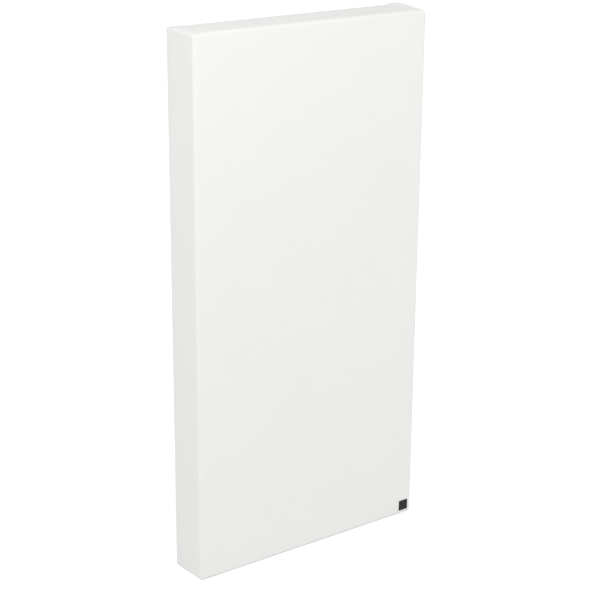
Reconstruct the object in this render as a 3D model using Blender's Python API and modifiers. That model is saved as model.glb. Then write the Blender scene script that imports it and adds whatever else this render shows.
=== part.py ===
"""Cloth-covered acoustic absorber panel: a foam core on a light timber frame, wrapped in cloth.

Metres, +Z up. The panel stands on its bottom edge, with the origin on the ground under its middle.
Its front faces -Y, its back +Y, and +X is to the right of someone who looks at the front.
"""

import math

import bmesh
import bpy
from mathutils import Matrix, Vector

# The covered panel, without its label and hanger plates
PANEL_WIDTH = 0.600
PANEL_HEIGHT = 1.200
PANEL_DEPTH = 0.100

# Room that neighbouring pieces leave between them
FIT_GAP = 0.0003

# Points closer than this are one point
MERGE_DISTANCE = 0.000001

# Cloth cover, with outside radii
COVER_THICKNESS = 0.0012
FRONT_ROUND = 0.007
CORNER_ROUND = 0.008
BACK_ROUND = 0.003
RETURN_WIDTH = 0.035
ROUND_SEGMENTS = 4

# Timber frame: the width of a member as seen from the back, and its depth
MEMBER_WIDTH = 0.040
MEMBER_DEPTH = 0.030
ARRIS_ROUND = 0.0025

# Dowels, two side by side in each joint
DOWEL_DIAMETER = 0.008
DOWEL_LENGTH = 0.040
DOWEL_SPACING = 0.020
DOWEL_CHAMFER = 0.001
DOWEL_END_ROOM = 0.001
DOWEL_SIDES = 16

# Keyhole of the hanger plates, the wall screw's head that goes into it, and the degrees from one
# point of an arc to the next
ENTRY_DIAMETER = 0.010
SLOT_WIDTH = 0.0045
SLOT_LENGTH = 0.014
WALL_HEAD_DIAMETER = 0.009
WALL_HEAD_ROOM = 0.002
ARC_STEP = 15.0

# Hanger plates
PLATE_THICKNESS = 0.002
PLATE_EDGE_MARGIN = 0.012
PLATE_WEB = 0.009
PLATE_TIP_WIDTH = 0.014
PLATE_CORNER_ROUND = 0.005

# Wood screws of the hanger plates
SCREW_LENGTH = 0.016
SCREW_HEAD_DIAMETER = 0.007
SCREW_HEAD_HEIGHT = 0.0017
SCREW_SHANK_DIAMETER = 0.0035
SCREW_POINT = 0.004
SCREW_SINK = 0.0002
SCREW_TIP_INSET = 0.012
SCREW_PITCH = 0.038
SCREW_STEPS = 16

# Foam in the frame's bays
FOAM_SCREW_ROOM = 0.003

# Cloth over the back
BACK_CLOTH_THICKNESS = 0.0006
BACK_CLOTH_MARGIN = 0.022
BACK_CLOTH_PLATE_GAP = 0.0005

# Label on the front
LABEL_SIDE = 0.025
LABEL_THICKNESS = 0.0005
LABEL_FROM_SIDE = 0.012
LABEL_FROM_BOTTOM = 0.0105
LABEL_ROUND = 0.001

# Levels from front to back. The label and the plates stand proud of the cover, and the origin is
# halfway between the frontmost and the backmost point.
LABEL_PROUD = FIT_GAP + LABEL_THICKNESS
PLATE_PROUD = FIT_GAP + PLATE_THICKNESS
COVER_FRONT = (LABEL_PROUD - PLATE_PROUD - PANEL_DEPTH) / 2
COVER_BACK = COVER_FRONT + PANEL_DEPTH
PLATE_FRONT = COVER_BACK + FIT_GAP
PLATE_BACK = PLATE_FRONT + PLATE_THICKNESS

# The room inside the cover
INSET = COVER_THICKNESS + FIT_GAP
CORE_FRONT = COVER_FRONT + INSET
FRAME_BACK = COVER_BACK - INSET
FRAME_FRONT = FRAME_BACK - MEMBER_DEPTH
FRAME_MIDDLE = (FRAME_BACK + FRAME_FRONT) / 2
HALF_WIDTH = PANEL_WIDTH / 2
HALF_CORE_WIDTH = HALF_WIDTH - INSET
CORE_BOTTOM = INSET
CORE_TOP = PANEL_HEIGHT - INSET
HALF_BAY_WIDTH = HALF_CORE_WIDTH - MEMBER_WIDTH
BAY_BOTTOM = CORE_BOTTOM + MEMBER_WIDTH
BAY_TOP = CORE_TOP - MEMBER_WIDTH
CROSS_MIDDLE = PANEL_HEIGHT / 2

# Distances from a corner of the panel, the same along both of its edges
MEMBER_LINE = INSET + MEMBER_WIDTH / 2
BAY_EDGE = INSET + MEMBER_WIDTH
SLOT_END = BAY_EDGE + WALL_HEAD_DIAMETER / 2 + WALL_HEAD_ROOM
ENTRY = SLOT_END + SLOT_LENGTH

# The two distances of a point on a plate's slanting edge add up to this
PLATE_SLANT = 2 * ENTRY + math.sqrt(2) * (ENTRY_DIAMETER / 2 + PLATE_WEB)
PLATE_TIP = PLATE_SLANT - PLATE_EDGE_MARGIN - PLATE_TIP_WIDTH
SCREW_STATIONS = (PLATE_TIP - SCREW_TIP_INSET - SCREW_PITCH, PLATE_TIP - SCREW_TIP_INSET)
KEYHOLE_CUT_DEPTH = PLATE_THICKNESS + 2 * WALL_HEAD_ROOM
FOAM_SLANT = 2 * ENTRY + math.sqrt(2) * (ENTRY_DIAMETER / 2 + FOAM_SCREW_ROOM)
BACK_CLOTH_SLANT = PLATE_SLANT + math.sqrt(2) * BACK_CLOTH_PLATE_GAP

# Corners of the panel: name, place, and the quarter turns that bring the top left one there
CORNERS = (
    ("top_left", (-HALF_WIDTH, PANEL_HEIGHT), 0),
    ("top_right", (HALF_WIDTH, PANEL_HEIGHT), 1),
    ("bottom_right", (HALF_WIDTH, 0.0), 2),
    ("bottom_left", (-HALF_WIDTH, 0.0), 3),
)


def empty_scene():
    """Remove every object that the file opens with."""
    for old in list(bpy.data.objects):
        bpy.data.objects.remove(old, do_unlink=True)


def collection(name):
    """A new collection in the scene."""
    made = bpy.data.collections.new(name)
    bpy.context.scene.collection.children.link(made)
    return made


def material(name, colour, roughness, metallic=0.0):
    """A material with one Principled BSDF."""
    made = bpy.data.materials.new(name)
    made.use_nodes = True
    shader = made.node_tree.nodes["Principled BSDF"]
    shader.inputs["Base Color"].default_value = (*colour, 1.0)
    shader.inputs["Roughness"].default_value = roughness
    shader.inputs["Metallic"].default_value = metallic
    made.diffuse_color = (*colour, 1.0)
    return made


def add_object(name, mesh, group, finish=None):
    """An object that shows the mesh, in a collection. The mesh takes the finish if it has none."""
    made = bpy.data.objects.new(name, mesh)
    group.objects.link(made)
    if finish is not None and not mesh.materials:
        mesh.materials.append(finish)
    return made


def box_between(low, high):
    """A box between two corners."""
    bm = bmesh.new()
    bmesh.ops.create_cube(bm, size=1.0)
    for vert in bm.verts:
        vert.co = Vector(high[k] if vert.co[k] > 0 else low[k] for k in range(3))
    return bm


def block(name, low, high, group, finish, rounds=(), segments=ROUND_SEGMENTS):
    """A solid box. Each of rounds is a radius and the two sides of the box whose edge it rounds."""
    bm = box_between(low, high)
    largest = round_edges(bm, low, high, rounds)
    mesh = bpy.data.meshes.new(name)
    bm.to_mesh(mesh)
    bm.free()
    made = add_object(name, mesh, group, finish)
    if largest:
        add_bevel(made, largest, segments)
    return made


def round_edges(bm, low, high, rounds):
    """Give the box's edges their bevel weights, and return the width of a full weight."""
    if not rounds:
        return 0.0
    weights = bm.edges.layers.float.new("bevel_weight_edge")
    largest = max(radius for radius, *_ in rounds)
    for radius, *sides in rounds:
        for edge in bm.edges:
            if all(edge_on_side(edge, side, low, high) for side in sides):
                edge[weights] = radius / largest
    return largest


def edge_on_side(edge, side, low, high):
    """Whether both ends of an edge lie on a side of the box, such as +X."""
    axis = "XYZ".index(side[1])
    place = high[axis] if side[0] == "+" else low[axis]
    return all(abs(vert.co[axis] - place) < MERGE_DISTANCE for vert in edge.verts)


def add_bevel(target, width, segments):
    """Round the edges that have a bevel weight."""
    bevel = target.modifiers.new("rounded_edges", "BEVEL")
    bevel.limit_method = "WEIGHT"
    bevel.width = width
    bevel.segments = segments
    return bevel


def cut(target, cutter):
    """Cut the cutter's shape out of the target."""
    boolean = target.modifiers.new(cutter.name, "BOOLEAN")
    boolean.operation = "DIFFERENCE"
    boolean.solver = "EXACT"
    boolean.object = cutter


def as_cutter(guide):
    """Show a cutter as wires and keep it out of renders."""
    guide.display_type = "WIRE"
    guide.hide_render = True


def evaluated_mesh(source):
    """A new mesh with the source's shape after its modifiers, in the source's own frame."""
    bpy.context.view_layer.update()
    seen = source.evaluated_get(bpy.context.evaluated_depsgraph_get())
    return bpy.data.meshes.new_from_object(seen)


def copies_as_one(name, source, places, group):
    """One cutter made of copies of the source at several places."""
    shape = evaluated_mesh(source)
    bm = bmesh.new()
    for place in places:
        before = len(bm.verts)
        bm.from_mesh(shape)
        bm.verts.ensure_lookup_table()
        bmesh.ops.transform(bm, matrix=place, verts=bm.verts[before:])
    mesh = bpy.data.meshes.new(name)
    bm.to_mesh(mesh)
    bm.free()
    bpy.data.meshes.remove(shape)
    bpy.data.objects.remove(source, do_unlink=True)
    made = add_object(name, mesh, group)
    as_cutter(made)
    return made


def turned(name, profile, steps, group, finish=None):
    """A solid turned about Z from a profile of (radius, height) points, top to bottom."""
    bm = bmesh.new()
    verts = [bm.verts.new((radius, 0.0, height)) for radius, height in profile]
    for upper, lower in zip(verts, verts[1:]):
        bm.edges.new((upper, lower))
    mesh = bpy.data.meshes.new(name)
    bm.to_mesh(mesh)
    bm.free()
    made = add_object(name, mesh, group, finish)
    add_screw_turn(made, steps)
    return made


def add_screw_turn(target, steps):
    """Turn an object's profile into a closed solid about its Z axis."""
    turn = target.modifiers.new("turned", "SCREW")
    turn.axis = "Z"
    turn.angle = math.tau
    turn.steps = steps
    turn.render_steps = steps
    turn.use_merge_vertices = True
    turn.merge_threshold = MERGE_DISTANCE
    turn.use_smooth_shade = False


def arc(centre, radius, start, end):
    """Points on an arc, from a start to an end angle in degrees."""
    points = []
    steps = math.ceil((end - start) / ARC_STEP)
    for k in range(steps + 1):
        angle = math.radians(start + (end - start) * k / steps)
        points.append((centre[0] + radius * math.cos(angle), centre[1] + radius * math.sin(angle)))
    return points


def rounded_outline(corners, radius):
    """The outline through the corners, each rounded by an arc of the same radius."""
    points = []
    for k, corner in enumerate(corners):
        corner = Vector(corner)
        back = (Vector(corners[k - 1]) - corner).normalized()
        ahead = (Vector(corners[(k + 1) % len(corners)]) - corner).normalized()
        half_angle = back.angle(ahead) / 2
        middle = (back + ahead).normalized()
        centre = corner + middle * (radius / math.sin(half_angle))
        start = corner + back * (radius / math.tan(half_angle)) - centre
        end = corner + ahead * (radius / math.tan(half_angle)) - centre
        sweep = math.copysign(math.pi - 2 * half_angle, start.x * end.y - start.y * end.x)
        for step in range(ROUND_SEGMENTS + 1):
            turn = Matrix.Rotation(sweep * step / ROUND_SEGMENTS, 2)
            points.append(tuple(centre + turn @ start))
    return points


def extruded(name, outline, thickness, group, finish=None):
    """A flat solid with the outline in X and Y, centred on Z = 0, as a mesh."""
    curve = bpy.data.curves.new(name, "CURVE")
    curve.dimensions = "2D"
    curve.fill_mode = "BOTH"
    curve.extrude = thickness / 2
    spline = curve.splines.new("POLY")
    spline.points.add(len(outline) - 1)
    for point, place in zip(spline.points, outline):
        point.co = (place[0], place[1], 0.0, 1.0)
    spline.use_cyclic_u = True
    drawn = add_object(name + "_outline", curve, group)
    mesh = evaluated_mesh(drawn)
    bpy.data.objects.remove(drawn, do_unlink=True)
    bpy.data.curves.remove(curve)
    bm = bmesh.new()
    bm.from_mesh(mesh)
    bmesh.ops.remove_doubles(bm, verts=bm.verts, dist=MERGE_DISTANCE)
    bmesh.ops.recalc_face_normals(bm, faces=bm.faces)
    bm.to_mesh(mesh)
    bm.free()
    mesh.name = name
    return add_object(name, mesh, group, finish)


def corner_empty(name, place, quarter_turns, group):
    """An empty at a corner of the panel. Its X and Y run along the panel's two edges, away from the
    corner, and its Z points to the back."""
    made = bpy.data.objects.new("corner_" + name, None)
    group.objects.link(made)
    made.empty_display_size = PLATE_TIP_WIDTH
    turn = Matrix.Rotation(quarter_turns * math.pi / 2, 4, "Y")
    axes = Matrix(((1, 0, 0, 0), (0, 0, 1, 0), (0, -1, 0, 0), (0, 0, 0, 1)))
    made.matrix_world = Matrix.Translation((place[0], 0.0, place[1])) @ turn @ axes
    return made


def screw_places():
    """Where the plate screws stand, in the frame of a corner."""
    places = []
    for station in SCREW_STATIONS:
        places.append((station, MEMBER_LINE))
        places.append((MEMBER_LINE, station))
    return places


def screw_profile(room=0.0):
    """Half the outline of a countersunk screw with its head at Z = 0, grown by some room."""
    head = SCREW_HEAD_DIAMETER / 2 + room
    shank = SCREW_SHANK_DIAMETER / 2 + room
    neck = -SCREW_HEAD_HEIGHT - room
    shoulder = SCREW_POINT - SCREW_LENGTH - room
    profile = [(0.0, 0.0), (head, 0.0), (shank, neck), (shank, shoulder), (0.0, -SCREW_LENGTH - room)]
    if room:
        above = SCREW_SINK + PLATE_THICKNESS
        profile[0:1] = [(0.0, above), (head, above)]
    return profile


def make_screw_holes(corners, group):
    """One cutter with the room that all the plate screws need."""
    one = turned("screw_room", screw_profile(room=FIT_GAP), SCREW_STEPS, group)
    head_level = PLATE_BACK - SCREW_SINK
    places = []
    for corner in corners.values():
        for along, up in screw_places():
            places.append(corner.matrix_world @ Matrix.Translation((along, up, head_level)))
    return copies_as_one("screw_holes", one, places, group)


def dowel_places():
    """The middle of each dowel, by name."""
    places = {}
    joints = {
        "top": CORE_TOP - MEMBER_WIDTH / 2,
        "cross": CROSS_MIDDLE,
        "bottom": CORE_BOTTOM + MEMBER_WIDTH / 2,
    }
    for side, sign in (("left", -1), ("right", 1)):
        for joint, level in joints.items():
            for row, shift in (("upper", 0.5), ("lower", -0.5)):
                height = level + shift * DOWEL_SPACING
                places[f"dowel_{joint}_{side}_{row}"] = (sign * HALF_BAY_WIDTH, FRAME_MIDDLE, height)
    return places


def dowel_profile(room=0.0, end_room=0.0):
    """Half the outline of a dowel about its middle, grown by some room."""
    radius = DOWEL_DIAMETER / 2 + room
    end = DOWEL_LENGTH / 2 + end_room
    if room:
        return [(0.0, end), (radius, end), (radius, -end), (0.0, -end)]
    shoulder = end - DOWEL_CHAMFER
    tip = radius - DOWEL_CHAMFER
    return [(0.0, end), (tip, end), (radius, shoulder), (radius, -shoulder), (tip, -end), (0.0, -end)]


def along_x(place):
    """The matrix that lays a turned solid along X at a place."""
    return Matrix.Translation(place) @ Matrix.Rotation(math.pi / 2, 4, "Y")


def make_dowel_holes(group):
    """One cutter with the room that all the dowels need."""
    one = turned("dowel_room", dowel_profile(FIT_GAP, DOWEL_END_ROOM), DOWEL_SIDES, group)
    places = [along_x(place) for place in dowel_places().values()]
    return copies_as_one("dowel_holes", one, places, group)


def make_cover(group, finish, screw_holes):
    """The cloth: a rounded shell that folds over the back of the frame, where the screws pierce it."""
    low = (-HALF_WIDTH, COVER_FRONT, 0.0)
    high = (HALF_WIDTH, COVER_BACK, PANEL_HEIGHT)
    rounds = [(CORNER_ROUND, x, z) for x in ("-X", "+X") for z in ("-Z", "+Z")]
    rounds += [(FRONT_ROUND, "-Y", side) for side in ("-X", "+X", "-Z", "+Z")]
    rounds += [(BACK_ROUND, "+Y", side) for side in ("-X", "+X", "-Z", "+Z")]
    bm = box_between(low, high)
    largest = round_edges(bm, low, high, rounds)
    back = max(bm.faces, key=lambda face: face.calc_center_median().y)
    bmesh.ops.inset_region(bm, faces=[back], thickness=RETURN_WIDTH, use_even_offset=True)
    bmesh.ops.delete(bm, geom=[back], context="FACES_ONLY")
    mesh = bpy.data.meshes.new("fabric_cover")
    bm.to_mesh(mesh)
    bm.free()
    cover = add_object("fabric_cover", mesh, group, finish)
    add_bevel(cover, largest, ROUND_SEGMENTS)
    shell = cover.modifiers.new("cloth_thickness", "SOLIDIFY")
    shell.thickness = COVER_THICKNESS
    shell.offset = -1.0
    shell.use_even_offset = True
    cut(cover, screw_holes)
    return cover


def make_face_slab(group, finish):
    """The foam that fills the cover in front of the frame."""
    low = (-HALF_CORE_WIDTH, CORE_FRONT, CORE_BOTTOM)
    high = (HALF_CORE_WIDTH, FRAME_FRONT - FIT_GAP, CORE_TOP)
    rounds = [(CORNER_ROUND - INSET, x, z) for x in ("-X", "+X") for z in ("-Z", "+Z")]
    rounds += [(FRONT_ROUND - INSET, "-Y", side) for side in ("-X", "+X", "-Z", "+Z")]
    return block("foam_face_slab", low, high, group, finish, rounds)


def make_frame(group, finish, screw_holes, dowel_holes):
    """Two upright stiles with three rails between them."""
    outer_round = CORNER_ROUND - INSET
    members = []
    for name, side, inner, outer in (
        ("left_stile", "-X", -HALF_BAY_WIDTH, -HALF_CORE_WIDTH),
        ("right_stile", "+X", HALF_BAY_WIDTH, HALF_CORE_WIDTH),
    ):
        low = (min(inner, outer), FRAME_FRONT, CORE_BOTTOM)
        high = (max(inner, outer), FRAME_BACK, CORE_TOP)
        rounds = [(outer_round, side, "-Z"), (outer_round, side, "+Z"), (ARRIS_ROUND, side, "+Y")]
        rounds += [(ARRIS_ROUND, "+Y", end) for end in ("-Z", "+Z")]
        members.append(block(name, low, high, group, finish, rounds))
    half_rail = HALF_BAY_WIDTH - FIT_GAP
    for name, bottom, top, side in (
        ("bottom_rail", CORE_BOTTOM, BAY_BOTTOM, "-Z"),
        ("cross_rail", CROSS_MIDDLE - MEMBER_WIDTH / 2, CROSS_MIDDLE + MEMBER_WIDTH / 2, None),
        ("top_rail", BAY_TOP, CORE_TOP, "+Z"),
    ):
        rounds = [(ARRIS_ROUND, "+Y", side)] if side else []
        low = (-half_rail, FRAME_FRONT, bottom)
        high = (half_rail, FRAME_BACK, top)
        members.append(block(name, low, high, group, finish, rounds))
    for member in members:
        cut(member, dowel_holes)
        if member.name != "cross_rail":
            cut(member, screw_holes)


def make_dowels(group, finish):
    """Two dowels across each joint between a stile and a rail."""
    for name, place in dowel_places().items():
        dowel = turned(name, dowel_profile(), DOWEL_SIDES, group, finish)
        dowel.matrix_world = along_x(place)


def make_infill(group, finish):
    """Foam in the two bays, with the corners behind the hanger plates cut off."""
    half = HALF_BAY_WIDTH - FIT_GAP
    cut_off = FOAM_SLANT - 2 * (BAY_EDGE + FIT_GAP)
    cross_top = CROSS_MIDDLE + MEMBER_WIDTH / 2
    cross_bottom = CROSS_MIDDLE - MEMBER_WIDTH / 2
    for name, bottom, top, side in (
        ("foam_infill_upper", cross_top, BAY_TOP, "+Z"),
        ("foam_infill_lower", BAY_BOTTOM, cross_bottom, "-Z"),
    ):
        low = (-half, FRAME_FRONT, bottom + FIT_GAP)
        high = (half, FRAME_BACK, top - FIT_GAP)
        rounds = [(cut_off, "-X", side), (cut_off, "+X", side)]
        block(name, low, high, group, finish, rounds, segments=1)


def make_back_cloth(group, finish):
    """The thin cloth over the back, with its corners cut off beside the hanger plates."""
    half = HALF_WIDTH - BACK_CLOTH_MARGIN
    low = (-half, PLATE_FRONT, BACK_CLOTH_MARGIN)
    high = (half, PLATE_FRONT + BACK_CLOTH_THICKNESS, PANEL_HEIGHT - BACK_CLOTH_MARGIN)
    cut_off = BACK_CLOTH_SLANT - 2 * BACK_CLOTH_MARGIN
    rounds = [(cut_off, x, z) for x in ("-X", "+X") for z in ("-Z", "+Z")]
    block("back_cloth", low, high, group, finish, rounds, segments=1)


def make_label(group, finish):
    """The square label at the bottom right corner of the front."""
    right = HALF_WIDTH - LABEL_FROM_SIDE
    back = COVER_FRONT - FIT_GAP
    low = (right - LABEL_SIDE, back - LABEL_THICKNESS, LABEL_FROM_BOTTOM)
    high = (right, back, LABEL_FROM_BOTTOM + LABEL_SIDE)
    rounds = [(LABEL_ROUND, x, z) for x in ("-X", "+X") for z in ("-Z", "+Z")]
    block("label", low, high, group, finish, rounds)


def plate_outline():
    """A triangle in the corner of the panel with its two tips cut square."""
    near = PLATE_EDGE_MARGIN
    shoulder = PLATE_EDGE_MARGIN + PLATE_TIP_WIDTH
    corners = [
        (near, near),
        (PLATE_TIP, near),
        (PLATE_TIP, shoulder),
        (shoulder, PLATE_TIP),
        (near, PLATE_TIP),
    ]
    return rounded_outline(corners, PLATE_CORNER_ROUND)


def keyhole_outline():
    """The round entry with a slot towards each of the panel's two edges."""
    entry = (ENTRY, ENTRY)
    radius = ENTRY_DIAMETER / 2
    half_slot = SLOT_WIDTH / 2
    mouth = math.degrees(math.asin(half_slot / radius))
    points = arc(entry, radius, mouth - 90, 180 - mouth)
    points += arc((SLOT_END, ENTRY), half_slot, 90, 270)
    points += arc(entry, radius, 180 + mouth, 270 - mouth)
    points += arc((ENTRY, SLOT_END), half_slot, 180, 360)
    return points


def make_plates(corners, group, cutters, finish, screw_holes):
    """The four hanger plates, all one shape, each turned into its corner."""
    keyhole = extruded("keyhole", keyhole_outline(), KEYHOLE_CUT_DEPTH, cutters)
    level = (PLATE_FRONT + PLATE_BACK) / 2
    places = [corner.matrix_world @ Matrix.Translation((0, 0, level)) for corner in corners.values()]
    keyholes = copies_as_one("keyholes", keyhole, places, cutters)
    for name, corner in corners.items():
        plate = extruded("hanger_plate_" + name, plate_outline(), PLATE_THICKNESS, group, finish)
        plate.parent = corner
        plate.location = (0.0, 0.0, level)
        cut(plate, keyholes)
        cut(plate, screw_holes)


def make_screws(corners, group, finish):
    """Four countersunk screws in each plate, a little below its face."""
    for name, corner in corners.items():
        for number, (along, up) in enumerate(screw_places(), start=1):
            screw = turned(f"plate_screw_{name}_{number}", screw_profile(), SCREW_STEPS, group, finish)
            screw.parent = corner
            screw.location = (along, up, PLATE_BACK - SCREW_SINK)


def make_panel():
    """All the pieces of the panel."""
    empty_scene()
    pieces = collection("acoustic_panel")
    cutters = collection("cutters")
    white_cloth = material("white_cloth", (0.86, 0.86, 0.84), 0.95)
    black_cloth = material("black_cloth", (0.02, 0.02, 0.022), 0.95)
    black_label = material("black_label", (0.015, 0.015, 0.015), 0.6)
    grey_foam = material("grey_foam", (0.12, 0.12, 0.13), 1.0)
    pine = material("pine", (0.66, 0.47, 0.28), 0.7)
    beech = material("beech", (0.60, 0.40, 0.25), 0.6)
    zinc_plate = material("zinc_plate", (0.70, 0.71, 0.73), 0.35, 1.0)
    zinc_screw = material("zinc_screw", (0.62, 0.63, 0.66), 0.3, 1.0)

    corners = {}
    for name, place, quarter_turns in CORNERS:
        corners[name] = corner_empty(name, place, quarter_turns, pieces)
    bpy.context.view_layer.update()
    screw_holes = make_screw_holes(corners, cutters)
    dowel_holes = make_dowel_holes(cutters)

    make_cover(pieces, white_cloth, screw_holes)
    make_face_slab(pieces, grey_foam)
    make_infill(pieces, grey_foam)
    make_frame(pieces, pine, screw_holes, dowel_holes)
    make_dowels(pieces, beech)
    make_back_cloth(pieces, black_cloth)
    make_plates(corners, pieces, cutters, zinc_plate, screw_holes)
    make_screws(corners, pieces, zinc_screw)
    make_label(pieces, black_label)


make_panel()
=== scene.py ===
"""The looks of a cloth-covered acoustic panel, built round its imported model.

Metres, +Z up. The panel stands on its bottom edge and faces -Y. The file follows the panel as it is
put together: the timber frame, the foam, the cloth cover, the cloth over the back, the hanger plates
and the label. The floor, the light and the camera come last.
"""

import math
import random

import bmesh
import bpy
from mathutils import Matrix, Vector, noise


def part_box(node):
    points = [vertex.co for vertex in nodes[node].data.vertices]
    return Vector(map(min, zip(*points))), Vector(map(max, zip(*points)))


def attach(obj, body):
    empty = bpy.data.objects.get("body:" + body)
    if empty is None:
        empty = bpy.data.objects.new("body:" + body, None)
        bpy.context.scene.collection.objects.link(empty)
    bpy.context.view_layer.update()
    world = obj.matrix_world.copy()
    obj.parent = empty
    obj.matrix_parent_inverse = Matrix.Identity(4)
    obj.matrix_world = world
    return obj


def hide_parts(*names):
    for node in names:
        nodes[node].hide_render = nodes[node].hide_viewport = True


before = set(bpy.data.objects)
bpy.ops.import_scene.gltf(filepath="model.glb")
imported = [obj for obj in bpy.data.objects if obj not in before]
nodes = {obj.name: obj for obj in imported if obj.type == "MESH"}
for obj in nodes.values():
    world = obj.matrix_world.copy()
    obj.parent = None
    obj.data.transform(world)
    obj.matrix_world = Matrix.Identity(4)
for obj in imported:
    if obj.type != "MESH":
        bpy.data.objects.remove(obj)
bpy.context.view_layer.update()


# Stiles and rails: planed pine battens, with the grain along each. The stiles run the full height of
# the panel, and the rails are dowelled and glued between them. Each comes from its own log, so its
# growth rings curve about a heart of their own, and bend round the small knots of its branches.
MEMBERS = (
    ("left_stile", "Z", (-0.315, -0.020), ((-0.283, 0.34), (-0.268, 0.93))),
    ("right_stile", "Z", (0.246, -0.045), ((0.280, 0.71),)),
    ("top_rail", "X", (-1.205, 0.088), ((0.11, 1.177),)),
    ("cross_rail", "X", (-0.545, -0.012), ((-0.14, 0.607), (0.19, 0.594))),
    ("bottom_rail", "X", (-0.060, 0.095), ((-0.05, 0.026),)),
)
PINE_RING = 0.0026
RING_SWAY = 0.008
RING_SWAYS = 22.0
RING_SWAY_DRAWN = 0.06
RING_SHARPNESS = 2.4
WOOD_FIBRES = 1400.0
WOOD_FIBRES_DRAWN = 0.015
KNOT_RADIUS = 0.0055
KNOT_RINGS = 6.0
PLANED_RELIEF = 0.00012
PINE_PALE = (0.76, 0.57, 0.36, 1.0)
PINE_DARK = (0.50, 0.30, 0.15, 1.0)
PINE_KNOT = (0.24, 0.12, 0.06, 1.0)


def new_material(name):
    """A new material, with one shader that still has a plain finish."""
    made = bpy.data.materials.new(name)
    made.use_nodes = True
    return made


def feed(material, node, inputs):
    """Set a node's inputs, each to a number, a colour or another node's output."""
    for name, value in inputs.items():
        if isinstance(value, bpy.types.NodeSocket):
            material.node_tree.links.new(value, node.inputs[name])
        else:
            node.inputs[name].default_value = value


def finish(material, inputs):
    """Set inputs of the material's one shader."""
    feed(material, material.node_tree.nodes["Principled BSDF"], inputs)


def add_node(material, kind, inputs=None, **settings):
    """Add a node. Its inputs go by name or number."""
    made = material.node_tree.nodes.new("ShaderNode" + kind)
    for name, value in settings.items():
        setattr(made, name, value)
    feed(material, made, inputs or {})
    return made


def maths(material, operation, *values):
    """The result of one step of arithmetic on numbers and node outputs."""
    return add_node(material, "Math", dict(enumerate(values)), operation=operation).outputs[0]


def scaled(material, value, by, plus):
    """A value times a number, plus another."""
    return maths(material, "MULTIPLY_ADD", value, by, plus)


def on_places(material, operation, *values):
    """The result of one step of arithmetic on places: a place, or a length."""
    made = add_node(material, "VectorMath", dict(enumerate(values)), operation=operation)
    return made.outputs["Value" if operation in ("LENGTH", "DISTANCE") else "Vector"]


def in_panel(material):
    """The place in the panel, in metres."""
    return add_node(material, "TexCoord").outputs["Object"]


def mapped(material, place, stretch=(1.0, 1.0, 1.0), turn=(0.0, 0.0, 0.0), shift=(0.0, 0.0, 0.0)):
    """A place on a pattern that is stretched, turned and shifted."""
    inputs = {"Vector": place, "Scale": stretch, "Rotation": turn, "Location": shift}
    return add_node(material, "Mapping", inputs).outputs[0]


def swayed(material, place, lead, scale, detail, reach):
    """A place that wanders by a reach, as a noise read at the lead says."""
    sway = add_node(material, "TexNoise", {"Vector": lead, "Scale": scale, "Detail": detail})
    offset = on_places(material, "ADD", sway.outputs["Color"], (-0.5, -0.5, -0.5))
    return on_places(material, "MULTIPLY_ADD", offset, (reach, reach, 0.0), place)


def colour_by(material, factor, *stops):
    """Colour the surface by a factor, through stops that are each a position and a colour."""
    made = add_node(material, "ValToRGB", {"Fac": factor})
    elements = made.color_ramp.elements
    while len(elements) < len(stops):
        elements.new(0.5)
    for element, (position, colour) in zip(elements, stops):
        element.position = position
        element.color = colour
    finish(material, {"Base Color": made.outputs["Color"]})


def noise_of(material, place, scale, detail=2.0, roughness=0.5):
    """A cloudy pattern, as one number."""
    inputs = {"Vector": place, "Scale": scale, "Detail": detail, "Roughness": roughness}
    return add_node(material, "TexNoise", inputs).outputs[0]


def add_bump(material, height, distance, strength=1.0):
    """Raise and lower the surface by a pattern. The distance is that of a height of 1."""
    inputs = {"Height": height, "Distance": distance, "Strength": strength}
    finish(material, {"Normal": add_node(material, "Bump", inputs).outputs["Normal"]})


def knot_of(material, place, middle):
    """A branch that runs through a batten from front to back: 1 in its middle, fading beside it."""
    level = on_places(material, "MULTIPLY", place, (1.0, 0.0, 1.0))
    away = on_places(material, "DISTANCE", level, (middle[0], 0.0, middle[1]))
    share = maths(material, "POWER", maths(material, "DIVIDE", away, KNOT_RADIUS), 2.0)
    return maths(material, "DIVIDE", 1.0, maths(material, "ADD", share, 1.0))


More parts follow.
